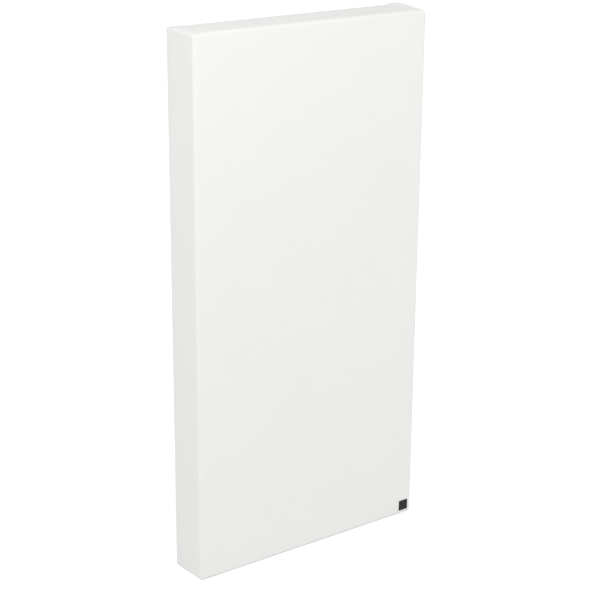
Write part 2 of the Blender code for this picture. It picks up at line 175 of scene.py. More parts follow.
def timber(name, grain, heart, knots, ring, pale, dark, darkest):
    """Bare planed wood. The grain is an axis, and the heart is where the log's middle runs."""
    made = new_material(name)
    place = in_panel(made)
    turn = (0.0, -math.pi / 2, 0.0) if grain == "X" else (0.0, 0.0, 0.0)
    along = mapped(made, place, turn=turn, shift=(-heart[0], -heart[1], 0.0))
    drawn_out = mapped(made, along, stretch=(1.0, 1.0, RING_SWAY_DRAWN))
    winding = swayed(made, along, drawn_out, RING_SWAYS, 3.0, RING_SWAY)
    radius = on_places(made, "LENGTH", on_places(made, "MULTIPLY", winding, (1.0, 1.0, 0.0)))
    inputs = {"W": radius, "Scale": 0.12 / ring, "Detail": 1.0}
    uneven = add_node(made, "TexNoise", inputs, noise_dimensions="1D").outputs[0]
    count = scaled(made, uneven, 4.0, maths(made, "DIVIDE", radius, ring))
    branch = 0.0
    for knot in knots:
        share = knot_of(made, place, knot)
        count = scaled(made, share, KNOT_RINGS, count)
        branch = maths(made, "MAXIMUM", branch, share)
    rings = maths(made, "POWER", maths(made, "FRACT", count), RING_SHARPNESS)
    fine = mapped(made, along, stretch=(1.0, 1.0, WOOD_FIBRES_DRAWN))
    fibres = noise_of(made, fine, WOOD_FIBRES, 3.0, 0.7)
    tone = scaled(made, rings, 0.55, 0.04)
    tone = maths(made, "ADD", tone, scaled(made, fibres, 0.36, -0.14))
    if knots:
        heartwood = maths(made, "MAXIMUM", scaled(made, branch, 1.6, -0.75), 0.0)
        tone = maths(made, "ADD", tone, heartwood)
    colour_by(made, tone, (0.0, pale), (0.6, dark), (1.0, darkest))
    finish(made, {"Roughness": scaled(made, fibres, 0.25, 0.52)})
    relief = maths(made, "ADD", fibres, maths(made, "MULTIPLY", rings, 0.6))
    add_bump(made, relief, PLANED_RELIEF)
    return made


for name, grain, heart, knots in MEMBERS:
    pine = timber("pine_" + name, grain, heart, knots, PINE_RING, PINE_PALE, PINE_DARK, PINE_KNOT)
    nodes[name].data.materials.clear()
    nodes[name].data.materials.append(pine)


# Dowels: turned beech pegs with pressed flutes along them, which let the glue spread. Two stand in
# each joint, glued half into the stile and half into the rail.
FLUTES = 18
FLUTE_DEPTH = 0.00035
DOWEL_CHAMFER = 0.0012
SAME_POINT = 0.00001
BEECH_RING = 0.0011
BEECH_HEART = (-0.32, 0.02)
BEECH_PALE = (0.62, 0.42, 0.27, 1.0)
BEECH_DARK = (0.46, 0.28, 0.16, 1.0)


def mesh_of(name, bm):
    """A mesh from a bmesh, which is then done with."""
    mesh = bpy.data.meshes.new(name)
    bm.to_mesh(mesh)
    bm.free()
    return mesh


def set_out(name, data):
    """A new object in the scene."""
    made = bpy.data.objects.new(name, data)
    bpy.context.scene.collection.objects.link(made)
    return made


def new_piece(name, bm, material, slot, *replaced):
    """An object from a bmesh, with its finish, that rides on the panel and stands for CAD nodes."""
    mesh = mesh_of(name, bm)
    mesh.materials.append(material)
    mesh.shade_smooth()
    piece = set_out(name, mesh)
    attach(piece, "root")
    if replaced:
        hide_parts(*replaced)
    return piece


def keep_sharp(piece, degrees):
    """Shade the piece smooth, but for edges that turn more than an angle."""
    piece.data.set_sharp_from_angle(angle=math.radians(degrees))


def moved(bm, matrix, verts=None):
    """Transform a bmesh, or some of its vertices."""
    bmesh.ops.transform(bm, matrix=matrix, verts=verts or bm.verts)


def merge(bm, distance=SAME_POINT):
    """Join the vertices that lie within a distance of each other."""
    bmesh.ops.remove_doubles(bm, verts=bm.verts, dist=distance)


def grow(bm, edges, step, scale=1.0):
    """Extrude a loop of edges by a step along Z and scale the new loop about Z."""
    out = bmesh.ops.extrude_edge_only(bm, edges=edges)["geom"]
    verts = [part for part in out if isinstance(part, bmesh.types.BMVert)]
    bmesh.ops.translate(bm, vec=(0.0, 0.0, step), verts=verts)
    bmesh.ops.scale(bm, vec=(scale, scale, 1.0), verts=verts)
    return [part for part in out if isinstance(part, bmesh.types.BMEdge)]


def fluted_dowel(low, high):
    """A fluted peg with chamfered ends that fills a box along X."""
    radius = (high.z - low.z) / 2
    length = high.x - low.x
    bm = bmesh.new()
    ring = bmesh.ops.create_circle(bm, segments=FLUTES * 3, radius=radius)["verts"]
    for number, vert in enumerate(ring):
        if number % 3 == 0:
            vert.co *= 1 - FLUTE_DEPTH / radius
    moved(bm, Matrix.Translation((0.0, 0.0, -length / 2 + DOWEL_CHAMFER)))
    loop = grow(bm, bm.edges[:], length - 2 * DOWEL_CHAMFER)
    loop = grow(bm, loop, DOWEL_CHAMFER, 1 - DOWEL_CHAMFER / radius)
    start = [edge for edge in bm.edges if edge.is_boundary and edge not in loop]
    end = grow(bm, start, -DOWEL_CHAMFER, 1 - DOWEL_CHAMFER / radius)
    for rim in (loop, end):
        bmesh.ops.contextual_create(bm, geom=rim)
    bmesh.ops.recalc_face_normals(bm, faces=bm.faces)
    moved(bm, Matrix.Translation((low + high) / 2) @ Matrix.Rotation(math.pi / 2, 4, "Y"))
    return bm


def nodes_called(start):
    """The names of the CAD nodes that begin with a text, in order."""
    return [name for name in sorted(nodes) if name.startswith(start)]


beech = timber("beech", "X", BEECH_HEART, (), BEECH_RING, BEECH_PALE, BEECH_DARK, BEECH_DARK)
for name in nodes_called("dowel_"):
    dowel = new_piece("fluted_" + name, fluted_dowel(*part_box(name)), beech, "beech", name)
    keep_sharp(dowel, 25)


# Foam: charcoal open-cell polyurethane, a thick slab in front of the frame and a pad in each bay. It
# is cut from the block with a band knife, which leaves its faces a little wavy, and glued in place.
# The pull of the cover squeezes it a little, most of all at the front corners, which slump.
FOAM_STEP = 0.012
FOAM_ARRIS = 0.0015
FOAM_WAVE = 0.0005
FOAM_WAVE_LENGTH = 0.070
FOAM_SQUEEZE = 0.0003
SLUMP_DROPS = {(-1, 1): 0.0020, (1, 1): 0.0007, (-1, -1): 0.0005, (1, -1): 0.0005}
SLUMP_WIDTH = 0.031
SLUMP_FADE = 0.030
CELL = 0.0011
FOAM_PALE = (0.150, 0.150, 0.160, 1.0)
PAINTED_PORE_SHADE = (0.030, 0.030, 0.034, 1.0)

cover_low, cover_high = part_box("fabric_cover")
WIDTH = cover_high.x - cover_low.x
HEIGHT = cover_high.z - cover_low.z
DEPTH = cover_high.y - cover_low.y
FRAME_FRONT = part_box("left_stile")[0].y
middle_height = (cover_low.z + cover_high.z) / 2


def soft_step(value, start, end):
    """A smooth rise from 0 at the start to 1 at the end."""
    share = min(max((value - start) / (end - start), 0.0), 1.0)
    return share * share * (3 - 2 * share)


def corner_of(place):
    """Which side and end of the panel a point is nearest, and how far it is from them."""
    side = 1 if place.x > 0 else -1
    end = 1 if place.z > HEIGHT / 2 else -1
    return side, end, WIDTH / 2 - abs(place.x), min(place.z, HEIGHT - place.z)


def slump_shift(place):
    """How far the pull of the cloth draws the soft front corners towards the middle."""
    side, end, from_side, from_end = corner_of(place)
    inside = 1 - from_side / SLUMP_WIDTH - (place.y - cover_low.y) / DEPTH
    drop = SLUMP_DROPS[side, end] * max(inside, 0.0) * (1 - soft_step(from_end, 0.0, SLUMP_FADE))
    return Vector((0.0, 0.0, -end * drop))


def solid_of(name):
    """A bmesh with the shape of a CAD node, its triangles joined into flat faces."""
    bm = bmesh.new()
    bm.from_mesh(nodes[name].data)
    merge(bm)
    bmesh.ops.dissolve_limit(bm, angle_limit=math.radians(0.5), verts=bm.verts, edges=bm.edges)
    return bm


def sharp_edges(bm, degrees):
    """The edges that turn more than an angle."""
    bm.normal_update()
    return [edge for edge in bm.edges if edge.calc_face_angle(0.0) > math.radians(degrees)]


def round_off(bm, edges, radius, segments):
    """Round edges by an arc."""
    bmesh.ops.bevel(
        bm, geom=edges, offset=radius, segments=segments, profile=0.5, affect="EDGES", material=-1
    )


def slice_across(bm, axis, places):
    """Cut the faces where planes across an axis, one at each place on it, cross them."""
    normal = Vector([float(k == axis) for k in range(3)])
    for place in places:
        geometry = bm.verts[:] + bm.edges[:] + bm.faces[:]
        bmesh.ops.bisect_plane(bm, geom=geometry, plane_co=normal * place, plane_no=normal)


def stations(start, end, step):
    """Evenly spaced places strictly between two ends, about a step apart."""
    count = max(1, round((end - start) / step))
    return [start + (end - start) * k / count for k in range(1, count)]


def open_cell_foam():
    """Charcoal foam: paler struts, with painted shade darkening the pores between them."""
    made = new_material("open_cell_foam")
    place = in_panel(made)
    cells = add_node(made, "TexVoronoi", {"Vector": place, "Scale": 1 / CELL})
    fine = add_node(made, "TexVoronoi", {"Vector": place, "Scale": 2.3 / CELL})
    pores = maths(made, "MULTIPLY", cells.outputs["Distance"], 1.1)
    pores = scaled(made, fine.outputs["Distance"], 0.35, pores)
    clouds = noise_of(made, place, 14.0, 3.0)
    tone = maths(made, "ADD", pores, scaled(made, clouds, 0.2, -0.25))
    # Painted shade: the pores, which the bump makes hollow, are coloured darker towards their middles.
    colour_by(made, tone, (0.15, PAINTED_PORE_SHADE), (0.85, FOAM_PALE))
    add_bump(made, pores, CELL * 0.6, 0.9)
    finish(made, {"Roughness": 0.95, "Specular IOR Level": 0.2})
    finish(made, {"Sheen Weight": 0.25, "Sheen Roughness": 0.6})
    return made


def foam_piece(name):
    """A CAD foam solid with softened arrises and knife-cut faces that stay inside it."""
    bm = solid_of(name)
    round_off(bm, sharp_edges(bm, 30), FOAM_ARRIS, segments=2)
    low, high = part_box(name)
    for axis in range(3):
        slice_across(bm, axis, stations(low[axis], high[axis], FOAM_STEP))
    bmesh.ops.triangulate(bm, faces=[face for face in bm.faces if len(face.verts) > 4])
    bm.normal_update()
    for vert in bm.verts:
        wave = noise.noise(vert.co / FOAM_WAVE_LENGTH)
        wave += 0.3 * noise.noise(vert.co * Vector((1.0, 1.0, 8.0)) / FOAM_WAVE_LENGTH)
        vert.co -= vert.normal * (FOAM_SQUEEZE + FOAM_WAVE * (0.5 + 0.5 * wave))
        vert.co += slump_shift(vert.co)
    return bm


foam = open_cell_foam()
for name in ("foam_face_slab", "foam_infill_upper", "foam_infill_lower"):
    pad = new_piece("cut_" + name, foam_piece(name), foam, "grey_foam", name)
    keep_sharp(pad, 50)


# Cover: one sheet of white woven polyester, pulled over the foam and round the back of the frame. The
# foam gives under it a little, and the frame doesn't. At each corner the spare cloth is a flap on the
# top or bottom, thicker towards the back. A pair of values is where a change starts and ends.
CLOTH_THICKNESS = 0.0011
CORNER_ROUND = 0.008
BACK_CORNER_ROUND = 0.0035
FRONT_ROUND = 0.007
BACK_ROUND = 0.003
RETURN_WIDTH = 0.035
CLOTH_STEP = 0.010
NEAR_EDGE = (0.0045, 0.0065, 0.0085, 0.0105, 0.0125, 0.0155, 0.020)
NEAR_FOLD = (0.0255, 0.0285, 0.031, 0.0335, 0.037)
EDGE_GIVE = 0.0004
EDGE_GIVE_REACH = 0.007
SIDE_GIVE = 0.0005
FOAM_ENDS = (-0.012, 0.004)
RIPPLE = 0.00025
RIPPLE_LENGTH = 0.11
STAPLE_PITCH = 0.037
SCALLOP = 0.0002
SCALLOP_DEPTH = 0.030
SCALLOP_EDGE = (0.012, 0.016)
CORNER_REGION = 0.070
SQUARED_FROM = (0.030, 0.080)
FLAP_FRONT = Vector((0.004, 0.012))
FLAP_BACK = Vector((0.034, 0.100))
FLAP_RISE = (0.015, 0.065)
FLAP_HEIGHTS = {(-1, 1): 0.0012, (1, 1): 0.0026, (-1, -1): 0.0008, (1, -1): 0.0008}
FLAP_STEP = 0.0009
FLAP_STEP_SHARE = 0.45
FLAP_SLOPE = 0.008
FLAP_OVER_BACK = 0.0009
FLAP_BAND = 0.0105
SLUMP_BEND = 0.002
PINCH_INSET = 0.002
PINCH_DEPTH = 0.0006
PINCH_REACH = 0.0022
MERGE_ORDER = Vector((1.0, 3.7, 11.3))
THREAD = 0.00095
THREAD_RELIEF = THREAD * 0.22
CLOTH_WHITE = (0.86, 0.86, 0.845, 1.0)
PAINTED_WEAVE_SHADE = (0.76, 0.76, 0.74, 1.0)


def box_shape(size, middle):
    """A bmesh of a box."""
    bm = bmesh.new()
    bmesh.ops.create_cube(bm, size=1.0)
    moved(bm, Matrix.Diagonal((*size, 1.0)))
    moved(bm, Matrix.Translation(middle))
    return bm


def edges_on(bm, *tests):
    """The edges whose two ends both pass every test."""
    return [edge for edge in bm.edges if all(test(v.co) for v in edge.verts for test in tests)]


def beyond_fold(from_side, depth):
    """How far a point lies on the corner's side of a flap's folded edge."""
    along = FLAP_BACK - FLAP_FRONT
    here = Vector((from_side, depth)) - FLAP_FRONT
    return (along.x * here.y - along.y * here.x) / along.length


def cut_near_corner(bm, side, end, first, last, shift):
    """Cut the cloth round a corner along a line over its top or bottom, or beside that line."""
    ends = [Vector((side * (WIDTH / 2 - p.x), cover_low.y + p.y, 0.0)) for p in (first, last)]
    across = (ends[1] - ends[0]).cross(Vector((0.0, 0.0, side))).normalized()
    level = HEIGHT if end > 0 else 0.0
    near = [
        face
        for face in bm.faces
        if abs(face.calc_center_median().z - level) < FLAP_BAND
        and side * face.calc_center_median().x > WIDTH / 2 - CORNER_REGION
        and face.normal.y > -0.7
        and abs(face.normal.x) < 0.7
    ]
    parts = dict.fromkeys(part for face in near for part in (face, *face.edges, *face.verts))
    start = ends[0] - across * shift
    bmesh.ops.bisect_plane(bm, geom=list(parts), plane_co=start, plane_no=across)


def crease_corners(bm):
    """Cut the cloth where it folds or bends at the corners."""
    bm.normal_update()
    for side, end in FLAP_HEIGHTS:
        for shift in (0.0, FLAP_STEP, 0.3 * FLAP_SLOPE, 0.6 * FLAP_SLOPE, FLAP_SLOPE):
            cut_near_corner(bm, side, end, FLAP_FRONT, FLAP_BACK, shift)
        for shift in (0.0, SLUMP_BEND):
            slump = Vector((SLUMP_WIDTH, 0.0)), Vector((0.0, DEPTH))
            cut_near_corner(bm, side, end, *slump, -shift)


def flap_shift(place, normal):
    """How far the folded flaps push a point of the cloth out. The panel stands on the lower ones."""
    side, end, from_side, from_end = corner_of(place)
    depth = place.y - cover_low.y
    height = FLAP_HEIGHTS[side, end] * soft_step(depth, *FLAP_RISE)
    inside = beyond_fold(from_side, depth)
    raised = FLAP_STEP_SHARE * soft_step(inside, -FLAP_STEP, 0.0)
    raised += (1 - FLAP_STEP_SHARE) * soft_step(inside, -FLAP_SLOPE, 0.0)
    outward = max(normal.z * end, 0.0)
    shift = Vector((0.0, 0.0, end * outward * height * raised))
    if end < 0:
        shift.z += outward * height
    band = 1 - soft_step(from_end, 0.6 * FLAP_BAND, FLAP_BAND)
    shift.y = max(normal.y, 0.0) * FLAP_OVER_BACK * raised * band
    return shift


def pinch_shift(place, normal):
    """The small pinch where the bend at the top left corner meets the front edge."""
    pinch = Vector((SLUMP_WIDTH - WIDTH / 2, cover_low.y + PINCH_INSET, HEIGHT - PINCH_INSET))
    away = place - pinch
    away.x *= 1.6
    return -normal * PINCH_DEPTH * math.exp(-(away.length_squared) / (2 * PINCH_REACH**2))


def cloth_shift(place, normal):
    """How far the real cloth departs from the plain rounded box at a point."""
    _, _, from_side, from_end = corner_of(place)
    from_edge = min(from_side, from_end)
    facing = max(-normal.y, 0.0)
    behind = max(normal.y, 0.0)
    give = EDGE_GIVE * math.exp(-max(from_edge - FRONT_ROUND, 0.0) / EDGE_GIVE_REACH) * facing
    over_foam = 1 - soft_step(place.y - FRAME_FRONT, *FOAM_ENDS)
    give += SIDE_GIVE * over_foam * (1 - facing) * (1 - behind)
    ripple = RIPPLE * noise.noise(place / RIPPLE_LENGTH) * (1 - behind)
    run = place.z if from_side < from_end else place.x
    pull = soft_step(place.y, cover_high.y - SCALLOP_DEPTH, cover_high.y)
    pull *= 1 - soft_step(from_edge, *SCALLOP_EDGE)
    scallop = -SCALLOP * pull * (0.5 + 0.5 * math.cos(math.tau * run / STAPLE_PITCH))
    shift = normal * (ripple - give + scallop)
    return shift + flap_shift(place, normal) + slump_shift(place) + pinch_shift(place, normal)


def corner_round(place):
    """The radius of the outline's corners, which the frame makes smaller towards the back."""
    share = soft_step(place.y - cover_low.y, *SQUARED_FROM)
    return CORNER_ROUND + (BACK_CORNER_ROUND - CORNER_ROUND) * share


def into_corner(place, radius):
    """How far a point lies past the start of a corner's round, across and up or down."""
    return abs(place.x) - (WIDTH / 2 - radius), abs(place.z - middle_height) - (HEIGHT / 2 - radius)


def round_corner(place):
    """The way round a corner of the outline, counted from the side and from the top or bottom."""
    radius = corner_round(place)
    across, up = into_corner(place, radius)
    angle = math.atan2(max(up, 0.0), max(across, 1e-9))
    return radius * angle, radius * (math.pi / 2 - angle)


def unrolled(reach, depth, half):
    """The way over the cloth from the middle of the front to a point on it, across one edge."""
    start = half - FRONT_ROUND
    if depth >= FRONT_ROUND:
        return start + FRONT_ROUND * math.pi / 2 + depth - FRONT_ROUND
    return start + FRONT_ROUND * math.atan2(max(reach - start, 0.0), FRONT_ROUND - depth)


def flat_place(place, face_middle, normal):
    """Where a point of the cover lay on the flat cloth, in metres."""
    depth = place.y - cover_low.y
    side, end, from_side, from_end = corner_of(face_middle)
    across = side * place.x
    up = end * (place.z - middle_height)
    if normal.y < -0.999:
        return side * across, end * up
    over_side = from_side < from_end
    if abs(normal.y) < 0.7:
        over_side = abs(normal.x) > abs(normal.z)
    behind = normal.y > 0.6
    radius = corner_round(place)
    in_corner = max(across - WIDTH / 2, up - HEIGHT / 2) > -radius and not behind
    from_side_on, from_end_on = round_corner(place)
    if over_side:
        reach = unrolled(across, depth, WIDTH / 2)
        reach += (WIDTH / 2 - across) * behind
        if in_corner and up > HEIGHT / 2 - radius:
            up = HEIGHT / 2 - radius + from_side_on
        return side * reach, end * up
    reach = unrolled(up, depth, HEIGHT / 2)
    reach += (HEIGHT / 2 - up) * behind
    if in_corner and across > WIDTH / 2 - radius:
        across = WIDTH / 2 - radius + from_end_on
    return side * across, end * reach


def square_up(place):
    """Draw a point of a rounded corner out towards the sharp corner that the frame gives the back."""
    across, up = into_corner(place, CORNER_ROUND)
    if min(across, up) < 0:
        return
    spare = CORNER_ROUND - corner_round(place)
    across += spare * (1 - across / CORNER_ROUND)
    up += spare * (1 - up / CORNER_ROUND)
    place.x = math.copysign(WIDTH / 2 - CORNER_ROUND + across, place.x)
    place.z = middle_height + math.copysign(HEIGHT / 2 - CORNER_ROUND + up, place.z - middle_height)


def turn_inward(bm, rim, reach):
    """Extend the cloth over the back, from a rim to a rectangle that far from the panel's edges."""
    out = bmesh.ops.extrude_edge_only(bm, edges=rim)["geom"]
    across = WIDTH / 2 - reach
    up = HEIGHT / 2 - reach
    for vert in out:
        if isinstance(vert, bmesh.types.BMVert):
            vert.co.x = math.copysign(across, vert.co.x)
            vert.co.z = middle_height + math.copysign(up, vert.co.z - middle_height)
    merge(bm, CLOTH_THICKNESS / 10)
    return [edge for edge in bm.edges if edge.is_boundary]


def lay_flat(bm, place_on_cloth):
    """Note where each corner of each face lay on the flat cloth."""
    flat = bm.loops.layers.uv.new("flat_cloth")
    for face in bm.faces:
        middle = face.calc_center_median()
        for loop in face.loops:
            loop[flat].uv = place_on_cloth(loop.vert.co, middle, face.normal)


def cut_places(span):
    """Where the cover is cut across, from 0 to a span: evenly, and more closely near both ends."""
    near_edge = [*NEAR_EDGE, *NEAR_FOLD]
    inner = stations(near_edge[-1], span - near_edge[-1], CLOTH_STEP)
    return inner + near_edge + [span - reach for reach in near_edge]


def cover_shape():
    """A rounded box that is open at the back, with a return, cut into small faces and softened."""
    bm = box_shape((WIDTH, DEPTH, HEIGHT), (cover_low + cover_high) / 2)
    near = CLOTH_THICKNESS / 10
    upright = [e for e in bm.edges if abs(e.verts[0].co.y - e.verts[1].co.y) > near]
    round_off(bm, upright, CORNER_ROUND, segments=6)
    round_off(bm, edges_on(bm, lambda co: co.y < cover_low.y + near), FRONT_ROUND, segments=5)
    round_off(bm, edges_on(bm, lambda co: co.y > cover_high.y - near), BACK_ROUND, segments=3)
    back = max(bm.faces, key=lambda face: face.calc_center_median().y)
    rim = back.edges[:]
    bmesh.ops.delete(bm, geom=[back], context="FACES_ONLY")
    for reach in (FLAP_BAND, RETURN_WIDTH):
        rim = turn_inward(bm, rim, reach)
    slice_across(bm, 0, [cover_low.x + place for place in cut_places(WIDTH)])
    slice_across(bm, 2, cut_places(HEIGHT))
    slice_across(bm, 1, stations(cover_low.y + FRONT_ROUND, cover_high.y - BACK_ROUND, CLOTH_STEP))
    crease_corners(bm)
    # The cuts leave the points in an order that can vary, and what a merge keeps depends on it.
    bm.verts.sort(key=lambda vert: vert.co.dot(MERGE_ORDER))
    merge(bm, CLOTH_THICKNESS / 3)
    bmesh.ops.triangulate(bm, faces=[face for face in bm.faces if len(face.verts) > 4])
    bm.normal_update()
    for vert in bm.verts:
        square_up(vert.co)
    bm.normal_update()
    lay_flat(bm, flat_place)
    shifts = [cloth_shift(vert.co, vert.normal) for vert in bm.verts]
    for vert, shift in zip(bm.verts, shifts):
        vert.co += shift
    return bm


def wave(material, along, length, shape="SINE"):
    """A wave along a direction, which comes again after a length."""
    return maths(material, shape, maths(material, "MULTIPLY", along, math.tau / length))


def white_woven_cloth():
    """A plain weave of slightly uneven threads, white, matt, with painted shade in the gaps between the
    threads.
    """
    made = new_material("white_woven_cloth")
    place = add_node(made, "UVMap", uv_map="flat_cloth").outputs[0]
    winding = swayed(made, place, place, 45.0, 2.0, THREAD * 0.9)
    across, up, _ = add_node(made, "SeparateXYZ", {0: winding}).outputs
    warp = wave(made, across, 2 * THREAD)
    weft = wave(made, up, 2 * THREAD)
    over = maths(made, "MULTIPLY", warp, weft)
    threads = []
    for thread, lift in ((warp, 0.4), (weft, -0.4)):
        body = maths(made, "POWER", maths(made, "ABSOLUTE", thread), 0.6)
        threads.append(maths(made, "MULTIPLY", body, scaled(made, over, lift, 0.6)))
    height = maths(made, "MAXIMUM", *threads)
    fuzz = noise_of(made, place, 2600.0, 2.0)
    height = scaled(made, fuzz, 0.18, height)
    clouds = noise_of(made, place, 6.0, 3.0)
    # Painted shade: the tone follows the weave's height, darker in the low gaps between the threads.
    # The clouds vary the white itself.
    tone = maths(made, "ADD", height, scaled(made, clouds, 0.16, -0.12))
    colour_by(made, tone, (0.1, PAINTED_WEAVE_SHADE), (0.75, CLOTH_WHITE))
    add_bump(made, height, THREAD_RELIEF, 0.6)
    finish(made, {"Roughness": 0.9, "Specular IOR Level": 0.25})
    finish(made, {"Sheen Weight": 0.08, "Sheen Roughness": 0.5})
    return made


def thicken(cloth, thickness):
    """Give a cloth its thickness, inwards from its outer face."""
    body = cloth.modifiers.new("cloth_thickness", "SOLIDIFY")
    body.thickness = thickness
    body.offset = -1.0


white_cloth = white_woven_cloth()
cover = new_piece("wrapped_cover", cover_shape(), white_cloth, "white_cloth", "fabric_cover")
thicken(cover, CLOTH_THICKNESS)


# Staples: galvanised wire, 10 mm wide, shot through the cloth into the battens. The first row holds
# the cover's return and lies under the back cloth.
CROWN = 0.010
WIRE_WIDTH = 0.0011
WIRE_THICKNESS = 0.0005
LEG = 0.006
STAPLE_ARRIS = 0.00012
COVER_ROW = 0.030
ROW_END = COVER_ROW + 0.030
RUN_ASTRAY = 0.002
LINE_ASTRAY = 0.0008
ASKEW = 4.0
PRESSED_IN = 0.0002
SCRATCH_DEPTH = 0.00002
SCRATCH_WIDTH = 0.012
SCRATCH_WAYS = ((0.35, 0.06), (-0.8, 0.10), (1.3, 0.05))

hand = random.Random(12)


def staple_shape():
    """One staple: a crown along X with its outer face at Z = 0, and two legs down."""
    bm = box_shape((CROWN, WIRE_WIDTH, WIRE_THICKNESS), (0.0, 0.0, -WIRE_THICKNESS / 2))
    bend = CROWN / 2 - WIRE_THICKNESS
    slice_across(bm, 0, (-bend, bend))
    bm.normal_update()
    feet = [f for f in bm.faces if f.normal.z < -0.5 and abs(f.calc_center_median().x) > bend]
    out = bmesh.ops.extrude_discrete_faces(bm, faces=feet)["faces"]
    legs = [vert for face in out for vert in face.verts]
    bmesh.ops.translate(bm, vec=(0.0, 0.0, -LEG), verts=legs)
    merge(bm)
    round_off(bm, sharp_edges(bm, 60), STAPLE_ARRIS, segments=1)
    return mesh_of("staple", bm)


def row_places(half_length, middle, line, level, upright):
    """The matrices of a row of staples along one side, each a little askew."""
    count = round(2 * half_length / STAPLE_PITCH)
    lying = Matrix.Rotation(-math.pi / 2, 4, "X")
    places = []
    for number in range(count + 1):
        run = middle - half_length + 2 * half_length * number / count
        run += hand.uniform(-RUN_ASTRAY, RUN_ASTRAY)
        off = line + hand.uniform(-LINE_ASTRAY, LINE_ASTRAY)
        place = (off, level, run) if upright else (run, level, off)
        turn = math.radians(hand.gauss(0.0, ASKEW)) + (math.pi / 2 if upright else 0.0)
        places.append(Matrix.Translation(place) @ Matrix.Rotation(turn, 4, "Y") @ lying)
    return places


def rows_inside(low, high, inset, short, level):
    """Rows of staples set in from a cloth's bottom, top, left and right, and short of its corners."""
    half = (high - low) / 2
    rows = []
    for line in (low.z + inset, high.z - inset):
        rows.append(row_places(half.x - short, 0.0, line, level, upright=False))
    for line in (low.x + inset, high.x - inset):
        rows.append(row_places(half.z - short, middle_height, line, level, upright=True))
    return rows


def staples(name, rows):
    """All the staples of a set of rows, as one piece."""
    bm = bmesh.new()
    shape = staple_shape()
    for place in [place for row in rows for place in row]:
        before = len(bm.verts)
        bm.from_mesh(shape)
        bm.verts.ensure_lookup_table()
        moved(bm, place, bm.verts[before:])
    bpy.data.meshes.remove(shape)
    piece = new_piece(name, bm, galvanised, "zinc_screw")
    keep_sharp(piece, 30)
    return piece


def thin_lines(material, place, scale, width):
    """Thin winding lines: 1 on a line and 0 beside it. The width is a share of the noise's height."""
    level = noise_of(material, place, scale, 1.0)
    off = maths(material, "ABSOLUTE", maths(material, "SUBTRACT", level, 0.5))
    share = maths(material, "MINIMUM", maths(material, "DIVIDE", off, width), 1.0)
    return maths(material, "SUBTRACT", 1.0, share)


def plated_steel(name, colour, roughness, cloud, scratch):
    """Zinc-plated steel: cloudy, with a satin grain and the fine scratches of the tumbling drum."""
    made = new_material(name)
    place = in_panel(made)
    clouds = noise_of(made, place, cloud, 4.0, 0.6)
    grain = noise_of(made, place, 3 * scratch, 2.0, 0.7)
    scratches = 0.0
    for lean, stretch in SCRATCH_WAYS:
        leaning = mapped(made, place, turn=(0.0, lean, 0.0))
        drawn_out = mapped(made, leaning, stretch=(1.0, 1.0, stretch))
        lines = thin_lines(made, drawn_out, scratch, SCRATCH_WIDTH)
        scratches = maths(made, "MAXIMUM", scratches, lines)
    tone = scaled(made, grain, 0.5, maths(made, "ADD", clouds, -0.25))
    tone = scaled(made, scratches, 0.22, tone)
    dull = (colour[0] * 0.84, colour[1] * 0.85, colour[2] * 0.88, 1.0)
    worn = (colour[0] * 1.12, colour[1] * 1.12, colour[2] * 1.11, 1.0)
    colour_by(made, tone, (0.3, dull), (0.62, (*colour, 1.0)), (1.0, worn))
    rough = scaled(made, clouds, 0.22, roughness - 0.12)
    rough = scaled(made, grain, 0.12, rough)
    finish(made, {"Roughness": rough, "Metallic": 1.0})
    add_bump(made, scaled(made, scratches, -0.8, grain), SCRATCH_DEPTH, 0.5)
    return made


galvanised = plated_steel("galvanised_wire", (0.54, 0.54, 0.55), 0.38, 900.0, 5000.0)
return_level = cover_high.y + PRESSED_IN
staples("cover_staples", rows_inside(cover_low, cover_high, COVER_ROW, ROW_END, return_level))


# Back cloth: thin black spunbond felt, with its edges turned under, stapled over the back of the
# frame to hide the foam and the raw edges of the cover. Its corners are cut off beside the plates.
# It lifts a little between the staples, and pulls into creases near them and across the corners.
FELT_THICKNESS = 0.0004
TURNED_UNDER = 0.012
TURN_HEIGHT = 0.0004
FELT_STEP = 0.007
FELT_SAG = 0.0008
FELT_SAG_LENGTH = 0.20
FELT_BAY = (0.018, 0.090)
FELT_LIFT = 0.0007
FELT_LIFT_REACH = 0.030
FELT_CREASE = 0.0013
FELT_CREASE_WIDTH = 0.020
FELT_CREASE_LENGTH = 0.110
FELT_CREASE_FADE = (0.050, 0.220)
FELT_CREASE_SEEDS = (7.0, 9.0, 1.0, 4.0)
CORNER_CREASE = 0.0007
CORNER_CREASE_WIDTH = 0.021
CORNER_CREASE_REACH = 0.040
CORNER_CREASE_SPREAD = 0.055
CREASE_WANDER = 0.005
BACK_ROW = 0.0065
CREASE_START = (BACK_ROW, 0.035)
ROW_FROM_CUT = 0.010
BOND_PITCH = 0.0026
FIBRE_WIDTH = 0.035
FIBRE_WAYS = ((0.0, 0.35, 620.0), (0.9, 0.30, 480.0), (2.2, 0.30, 540.0))
FELT_RELIEF = 0.00015
FELT_BLACK = (0.009, 0.009, 0.0095, 1.0)
FELT_GREY = (0.055, 0.055, 0.056, 1.0)

felt_low, felt_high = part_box("back_cloth")
felt_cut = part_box("hanger_plate_top_left")[1].x - felt_low.x
back_level = felt_high.y + TURN_HEIGHT - FELT_LIFT / 2 + PRESSED_IN

back_rows = rows_inside(felt_low, felt_high, BACK_ROW, felt_cut + ROW_FROM_CUT, back_level)
staple_runs = [
    [place.translation[axis] for place in row] for axis, row in zip((0, 0, 2, 2), back_rows)
]


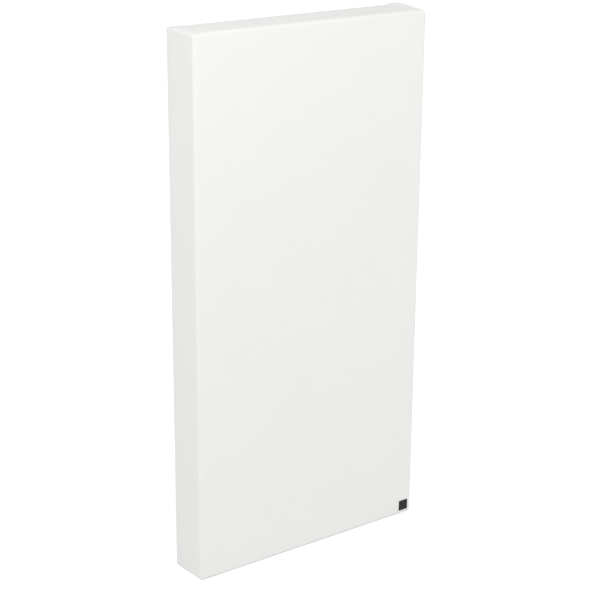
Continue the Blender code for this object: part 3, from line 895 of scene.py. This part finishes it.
def beside_row(staples_at, seed, inward, run):
    """The lift between a row's staples, and the crease that runs in from it."""
    nearest = min(abs(run - staple) for staple in staples_at)
    between = 0.5 - 0.5 * math.cos(math.tau * min(nearest / STAPLE_PITCH, 0.5))
    lift = FELT_LIFT * (between - 0.5) * math.exp(-max(inward - BACK_ROW, 0.0) / FELT_LIFT_REACH)
    fade = 1 - soft_step(inward, *FELT_CREASE_FADE)
    place = Vector((run / FELT_CREASE_WIDTH, inward / FELT_CREASE_LENGTH, seed))
    return lift, FELT_CREASE * fade * noise.noise(place)


def corner_creases(place, from_side, from_end):
    """The creases along a cut-off corner, where the cloth is pulled from one row to the other."""
    inward = (from_side + from_end - felt_cut) / math.sqrt(2)
    along = (from_side - from_end) / math.sqrt(2)
    wander = CREASE_WANDER * noise.noise(place * 14.0)
    spread = (along / CORNER_CREASE_SPREAD) ** 2
    fade = math.exp(-max(inward, 0.0) / CORNER_CREASE_REACH - spread)
    return CORNER_CREASE * fade * math.cos(math.tau * (inward + wander) / CORNER_CREASE_WIDTH)


def felt_shift(place):
    """How far the stretched cloth stands off its plane, out of the back."""
    from_ends = place.z - felt_low.z, felt_high.z - place.z
    from_sides = place.x - felt_low.x, felt_high.x - place.x
    along = place.x, place.x, place.z, place.z
    rows = zip(staple_runs, FELT_CREASE_SEEDS, from_ends + from_sides, along)
    lift, crease = (sum(parts) for parts in zip(*(beside_row(*row) for row in rows)))
    from_edge = min(from_ends + from_sides)
    crease += corner_creases(place, min(from_sides), min(from_ends))
    crease *= soft_step(from_edge, *CREASE_START)
    sag = 0.5 + 0.7 * noise.noise(place / FELT_SAG_LENGTH + Vector((3.0, 0.0, 0.0)))
    return lift + crease - FELT_SAG * soft_step(from_edge, *FELT_BAY) * sag


def felt_shape():
    """The outer face of the CAD cloth with a turned-under border, cut small and stretched."""
    bm = solid_of("back_cloth")
    bm.normal_update()
    hidden = [face for face in bm.faces if face.normal.y < 0.9]
    bmesh.ops.delete(bm, geom=hidden, context="FACES")
    face = bm.faces[:]
    bmesh.ops.inset_region(bm, faces=face, thickness=TURNED_UNDER, use_even_offset=True)
    bmesh.ops.inset_region(bm, faces=face, thickness=TURN_HEIGHT, use_even_offset=True)
    inner = {vert for part in face for vert in part.verts}
    rim = [vert for vert in bm.verts if vert not in inner]
    bmesh.ops.translate(bm, vec=(0.0, TURN_HEIGHT, 0.0), verts=rim)
    slice_across(bm, 0, stations(felt_low.x, felt_high.x, FELT_STEP))
    slice_across(bm, 2, stations(felt_low.z, felt_high.z, FELT_STEP))
    bmesh.ops.triangulate(bm, faces=[part for part in bm.faces if len(part.verts) > 5])
    for vert in bm.verts:
        vert.co.y += felt_shift(vert.co)
    lay_flat(bm, lambda place, middle, normal: place.xz)
    return bm


def black_felt():
    """Spunbond felt: thin fibres laid in clouds and pressed together in rows of small points, with
    painted light on the fibres and painted shade in the points.
    """
    made = new_material("black_felt")
    place = add_node(made, "UVMap", uv_map="flat_cloth").outputs[0]
    fibres = 0.0
    for lean, stretch, scale in FIBRE_WAYS:
        leaning = mapped(made, place, turn=(0.0, 0.0, lean))
        drawn_out = mapped(made, leaning, stretch=(1.0, stretch, 1.0))
        fibres = maths(made, "MAXIMUM", fibres, thin_lines(made, drawn_out, scale, FIBRE_WIDTH))
    diamond = mapped(made, place, turn=(0.0, 0.0, math.pi / 4))
    across, up, _ = add_node(made, "SeparateXYZ", {0: diamond}).outputs
    rows = wave(made, across, BOND_PITCH, "COSINE")
    columns = wave(made, up, BOND_PITCH, "COSINE")
    bonds = scaled(made, maths(made, "ADD", rows, columns), 0.9, -0.8)
    bonds = maths(made, "MINIMUM", maths(made, "MAXIMUM", bonds, 0.0), 1.0)
    clouds = noise_of(made, place, 85.0, 3.0, 0.6)
    drifts = noise_of(made, place, 7.0, 2.0)
    height = scaled(made, bonds, -0.6, fibres)
    tone = scaled(made, clouds, 1.1, -0.58)
    tone = scaled(made, drifts, 0.6, tone)
    # Painted light and shade: the tone follows the height, lighter on the raised fibres and darker in
    # the pressed points.
    tone = scaled(made, height, 0.55, tone)
    colour_by(made, tone, (0.0, FELT_BLACK), (1.0, FELT_GREY))
    add_bump(made, height, FELT_RELIEF, 0.7)
    rough = scaled(made, bonds, -0.25, 0.8)
    finish(made, {"Roughness": rough, "Sheen Weight": 0.1})
    return made


felt = new_piece("stretched_back_cloth", felt_shape(), black_felt(), "black_cloth", "back_cloth")
thicken(felt, FELT_THICKNESS)
staples("back_cloth_staples", back_rows)


# Hanger plates: pressed from 2 mm steel sheet, tumbled so that their edges lose their burr, and zinc
# plated. Each has a keyhole with two slots and four countersunk holes.
PLATE_ARRIS = 0.00025


zinc = plated_steel("zinc_plate", (0.56, 0.57, 0.59), 0.32, 55.0, 900.0)
for name in nodes_called("hanger_plate_"):
    bm = solid_of(name)
    round_off(bm, sharp_edges(bm, 60), PLATE_ARRIS, segments=2)
    plate = new_piece("pressed_" + name, bm, zinc, "zinc_plate", name)
    keep_sharp(plate, 20)
    for face in plate.data.polygons:
        face.use_smooth = abs(face.normal.y) < 0.999


# Plate screws: countersunk wood screws, 3.5 by 16 mm, bright zinc, with a cross recess and a rolled
# thread. The driver leaves each recess turned its own way.
HEAD_SIDES = 32
HEAD_RIM = 0.00015
CORE_RADIUS = 0.00125
THREAD_PITCH = 0.0014
THREAD_STEPS = 14
POINT = 0.004
RECESS_REACH = 0.0019
RECESS_WIDTH = 0.00066
RECESS_DEPTH = 0.0016
RECESS_TAPER = 0.45
CREST_HALF = 0.00006
CUT_MERGE = 0.000005
ABOUT_Z = {"cent": (0.0, 0.0, 0.0), "axis": (0.0, 0.0, 1.0)}


def turned(profile, sides):
    """A closed bmesh turned about Z from (radius, height) points, the first and last on the axis."""
    bm = bmesh.new()
    verts = [bm.verts.new((radius, 0.0, height)) for radius, height in profile]
    edges = [bm.edges.new(pair) for pair in zip(verts, verts[1:])]
    parts = verts + edges
    bmesh.ops.spin(bm, geom=parts, angle=math.tau, steps=sides, use_merge=True, **ABOUT_Z)
    merge(bm)
    bmesh.ops.recalc_face_normals(bm, faces=bm.faces)
    return bm


def screw_body(head, shank, head_height, length):
    """The head, core and point of a countersunk screw, without its thread."""
    profile = [
        (0.0, 0.0),
        (head - HEAD_RIM, 0.0),
        (head, -HEAD_RIM),
        (head, -2 * HEAD_RIM),
        (shank, -head_height),
        (shank, -head_height - THREAD_PITCH),
        (CORE_RADIUS, -head_height - 1.5 * THREAD_PITCH),
        (CORE_RADIUS, POINT - length),
        (0.0, -length),
    ]
    return turned(profile, HEAD_SIDES)


def cross_recess():
    """The tapering cross that the driver fits, as a solid to cut away."""
    bm = bmesh.new()
    bmesh.ops.create_grid(bm, x_segments=3, y_segments=3, size=RECESS_REACH)
    for vert in bm.verts:
        for axis in (0, 1):
            if abs(vert.co[axis]) < 0.9 * RECESS_REACH:
                vert.co[axis] = math.copysign(RECESS_WIDTH / 2, vert.co[axis])
    between = [f for f in bm.faces if all(abs(c) > RECESS_WIDTH for c in f.calc_center_median().xy)]
    bmesh.ops.delete(bm, geom=between, context="FACES")
    lid = bmesh.ops.extrude_face_region(bm, geom=bm.faces[:])["geom"]
    floor = [part for part in lid if isinstance(part, bmesh.types.BMVert)]
    bmesh.ops.translate(bm, vec=(0.0, 0.0, RECESS_DEPTH * 0.2), verts=bm.verts)
    bmesh.ops.translate(bm, vec=(0.0, 0.0, -RECESS_DEPTH * 1.2), verts=floor)
    bmesh.ops.scale(bm, vec=(RECESS_TAPER, RECESS_TAPER, 1.0), verts=floor)
    for vert in floor:
        if vert.co.xy.length > RECESS_WIDTH:
            vert.co.z += RECESS_DEPTH * 0.35
    bmesh.ops.recalc_face_normals(bm, faces=bm.faces)
    return bm


def thread_ridge(crest, top, length):
    """The thread: a ridge that winds down round the core and fades at the point."""
    bm = bmesh.new()
    root = CORE_RADIUS * 0.9
    half = THREAD_PITCH * 0.28
    corners = [(root, half), (crest, CREST_HALF), (crest, -CREST_HALF), (root, -half)]
    verts = [bm.verts.new((radius, 0.0, top + height)) for radius, height in corners]
    section = bm.faces.new(verts)
    turns = int((length + top - THREAD_PITCH * 0.4) / THREAD_PITCH)
    bmesh.ops.spin(
        bm,
        geom=[section],
        dvec=(0.0, 0.0, -THREAD_PITCH / THREAD_STEPS),
        angle=-math.tau * turns,
        steps=turns * THREAD_STEPS,
        use_duplicate=False,
        **ABOUT_Z,
    )
    for vert in bm.verts:
        left = (vert.co.z + length) / POINT
        begun = (top - vert.co.z) / THREAD_PITCH
        share = min(1.0, max(left, 0.08), 0.75 + 0.25 * begun)
        vert.co.x *= share
        vert.co.y *= share
    bmesh.ops.recalc_face_normals(bm, faces=bm.faces)
    return bm


def cut_by(bm, cutter):
    """The bmesh's shape with the cutter's taken away, as a mesh."""
    whole = set_out("whole", mesh_of("whole", bm))
    guide = set_out("cutter", mesh_of("cutter", cutter))
    cutting = whole.modifiers.new("cut", "BOOLEAN")
    cutting.operation = "DIFFERENCE"
    cutting.solver = "EXACT"
    cutting.object = guide
    bpy.context.view_layer.update()
    shaped = whole.evaluated_get(bpy.context.evaluated_depsgraph_get())
    result = bpy.data.meshes.new_from_object(shaped)
    for made in (whole, guide):
        bpy.data.objects.remove(made, do_unlink=True)
    return result


def screw_mesh():
    """One screw with its head's face at Z = 0."""
    low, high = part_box("plate_screw_top_left_1")
    head = (high.x - low.x) / 2
    length = high.y - low.y
    shank = head / 2
    bm = bmesh.new()
    bm.from_mesh(cut_by(screw_body(head, shank, head - shank, length), cross_recess()))
    merge(bm, CUT_MERGE)
    bmesh.ops.dissolve_degenerate(bm, edges=bm.edges, dist=CUT_MERGE)
    ridge = thread_ridge(shank, -head / 2 - 2.2 * THREAD_PITCH, length)
    bm.from_mesh(mesh_of("thread", ridge))
    return mesh_of("screw", bm)


bright_zinc = plated_steel("bright_zinc", (0.52, 0.53, 0.56), 0.24, 400.0, 3000.0)
screw = screw_mesh()
for name in nodes_called("plate_screw_"):
    low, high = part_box(name)
    place = Vector(((low.x + high.x) / 2, high.y, (low.z + high.z) / 2))
    turn = Matrix.Rotation(hand.uniform(0.0, math.tau), 4, "Z")
    bm = bmesh.new()
    bm.from_mesh(screw)
    moved(bm, Matrix.Translation(place) @ Matrix.Rotation(-math.pi / 2, 4, "X") @ turn)
    made = new_piece("threaded_" + name, bm, bright_zinc, "zinc_screw", name)
    keep_sharp(made, 35)


# Label: a square of black woven satin, bare, heat-cut so that its edge is a hard thin rim, and glued
# to the cloth at the bottom right corner of the front.
LABEL_STEP = 0.0012
LABEL_ARRIS = 0.0002
LABEL_RIM = 0.0005
LABEL_RIM_HEIGHT = 0.00012
LABEL_RIM_SLOPE = 0.00015
LABEL_FULLNESS = 0.00008
LABEL_ON_CLOTH = 0.0003
SATIN_THREAD = 0.00034
SATIN_RELIEF = 0.00008
SATIN_BLACK = (0.007, 0.007, 0.008, 1.0)
SATIN_PAINTED_HIGHLIGHT = (0.018, 0.018, 0.020, 1.0)


def label_shape():
    """The CAD label, brought down onto the cloth, with a rim and a slightly full middle."""
    low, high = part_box("label")
    middle = (low + high) / 2
    bm = solid_of("label")
    glued = [vert for vert in bm.verts if vert.co.y > middle.y]
    bmesh.ops.translate(bm, vec=(0.0, LABEL_ON_CLOTH, 0.0), verts=glued)
    bm.normal_update()
    face = [part for part in bm.faces if part.normal.y < -0.9]
    bmesh.ops.translate(bm, vec=(0.0, LABEL_ARRIS, 0.0), verts=face[0].verts[:])
    rim_steps = (LABEL_ARRIS, LABEL_ARRIS), (LABEL_RIM, 0.0), (LABEL_RIM_SLOPE, -LABEL_RIM_HEIGHT)
    for width, rise in rim_steps:
        bmesh.ops.inset_region(bm, faces=face, thickness=width, use_even_offset=True)
        bmesh.ops.translate(bm, vec=(0.0, -rise, 0.0), verts=face[0].verts[:])
    slice_across(bm, 0, stations(low.x, high.x, LABEL_STEP))
    slice_across(bm, 2, stations(low.z, high.z, LABEL_STEP))
    half = (high.x - low.x) / 2
    for vert in bm.verts:
        if vert.co.y < middle.y:
            reach = max(abs(vert.co.x - middle.x), abs(vert.co.z - middle.z)) / half
            vert.co.y -= LABEL_FULLNESS * (1 - soft_step(reach, 0.3, 0.93))
    return bm


def black_satin():
    """Satin weave: fine slanting ribs of polyester thread with a soft shine, and a painted highlight on
    each rib's crown.
    """
    made = new_material("black_satin")
    place = in_panel(made)
    across, _, up = add_node(made, "SeparateXYZ", {0: place}).outputs
    slant = maths(made, "ADD", across, maths(made, "MULTIPLY", up, 0.4))
    ribs = maths(made, "ABSOLUTE", wave(made, slant, 2 * SATIN_THREAD))
    rows = wave(made, up, 2 * SATIN_THREAD / 1.6)
    height = scaled(made, rows, 0.2, ribs)
    # Painted light: the rib crowns are coloured lighter and the troughs darker, following the ribs'
    # height.
    colour_by(made, height, (0.0, SATIN_BLACK), (1.0, SATIN_PAINTED_HIGHLIGHT))
    add_bump(made, height, SATIN_RELIEF, 0.7)
    finish(made, {"Roughness": 0.55, "Specular IOR Level": 0.2})
    return made


label = new_piece("woven_label", label_shape(), black_satin(), "black_label", "label")
keep_sharp(label, 45)


# Studio: a pale floor under a white sky, with three soft lamps: one high over the top of the front,
# one on the left and one low on the right. What the camera and mirrors see behind is plain white.
FLOOR_SIZE = 60.0
FLOOR_COLOUR = (0.87, 0.87, 0.87, 1.0)
FLOOR_GLOW = 0.45
FLOOR_ROUGHNESS = 0.9
WHITE = (1.0, 1.0, 1.0, 1.0)
SKY = 0.72
LAMP_AIM = Vector((0.0, 0.0, 0.9))
LAMPS = (
    ("over", Vector((-0.4, -1.0, 2.2)), 1.2, 5.5),
    ("left", Vector((-2.5, -1.5, 2.2)), 2.0, 28.2),
    ("right", Vector((2.5, -2.0, 1.0)), 2.0, 16.1),
)


def seen_directly(backdrop):
    """1 for what the camera sees, also in a mirror or through glass, and 0 for what falls as light."""
    path = add_node(backdrop, "LightPath").outputs
    seen = maths(backdrop, "MAXIMUM", path["Is Camera Ray"], path["Is Glossy Ray"])
    return maths(backdrop, "MAXIMUM", seen, path["Is Transmission Ray"])


def studio_floor():
    """The floor, in a pale matt paint that the camera and mirrors see as white."""
    bm = bmesh.new()
    bmesh.ops.create_grid(bm, x_segments=4, y_segments=4, size=FLOOR_SIZE / 2)
    floor = set_out("floor", mesh_of("floor", bm))
    paint = new_material("floor_paint")
    glow = maths(paint, "MULTIPLY", seen_directly(paint), FLOOR_GLOW)
    finish(paint, {"Base Color": FLOOR_COLOUR, "Roughness": FLOOR_ROUGHNESS, "Specular IOR Level": 0.0})
    finish(paint, {"Emission Color": WHITE, "Emission Strength": glow})
    floor.data.materials.append(paint)


def white_sky():
    """A plain world: white to look at, and a little weaker as a light."""
    world = bpy.data.worlds.new("sky")
    bpy.context.scene.world = world
    world.use_nodes = True
    strength = scaled(world, seen_directly(world), 1.0 - SKY, SKY)
    feed(world, world.node_tree.nodes["Background"], {"Color": WHITE, "Strength": strength})


def add_lamp(name, place, size, power):
    """A square soft lamp that points at the panel."""
    lamp = bpy.data.lights.new(name, "AREA")
    lamp.size = size
    lamp.energy = power
    made = set_out(name, lamp)
    made.location = place
    made.rotation_euler = (LAMP_AIM - place).to_track_quat("-Z", "Y").to_euler()


studio_floor()
white_sky()
for lamp in LAMPS:
    add_lamp(*lamp)


# Camera: where the photograph was taken from, to the left of the panel and above it. It turns a
# little about its own axis, and its lens and distance give the photograph's framing.
AZIMUTH = -36.37
ELEVATION = 18.60
ROLL = 0.40
FOCAL_PIXELS = 1566.0
IMAGE_HEIGHT = 591.0
SENSOR = 36.0
CAMERA_SET_OFF = Vector((-0.010, -0.009, 3.446))


def add_camera():
    """The camera, set off from the middle of the panel to its own right, up and back."""
    azimuth = math.radians(AZIMUTH)
    elevation = math.radians(ELEVATION)
    level = math.cos(elevation)
    back = Vector((math.sin(azimuth) * level, -math.cos(azimuth) * level, math.sin(elevation)))
    right = Vector((math.cos(azimuth), math.sin(azimuth), 0.0))
    up = back.cross(right)
    axes = Matrix((right, up, back)).transposed().to_4x4()
    axes @= Matrix.Rotation(math.radians(ROLL), 4, "Z")
    middle = (cover_low + cover_high) / 2
    camera = bpy.data.cameras.new("camera")
    camera.sensor_width = SENSOR
    camera.lens = FOCAL_PIXELS / IMAGE_HEIGHT * SENSOR
    made = set_out("camera", camera)
    made.matrix_world = Matrix.Translation(middle + axes.to_3x3() @ CAMERA_SET_OFF) @ axes
    bpy.context.scene.camera = made


add_camera()
bpy.context.scene.view_settings.view_transform = "Standard"
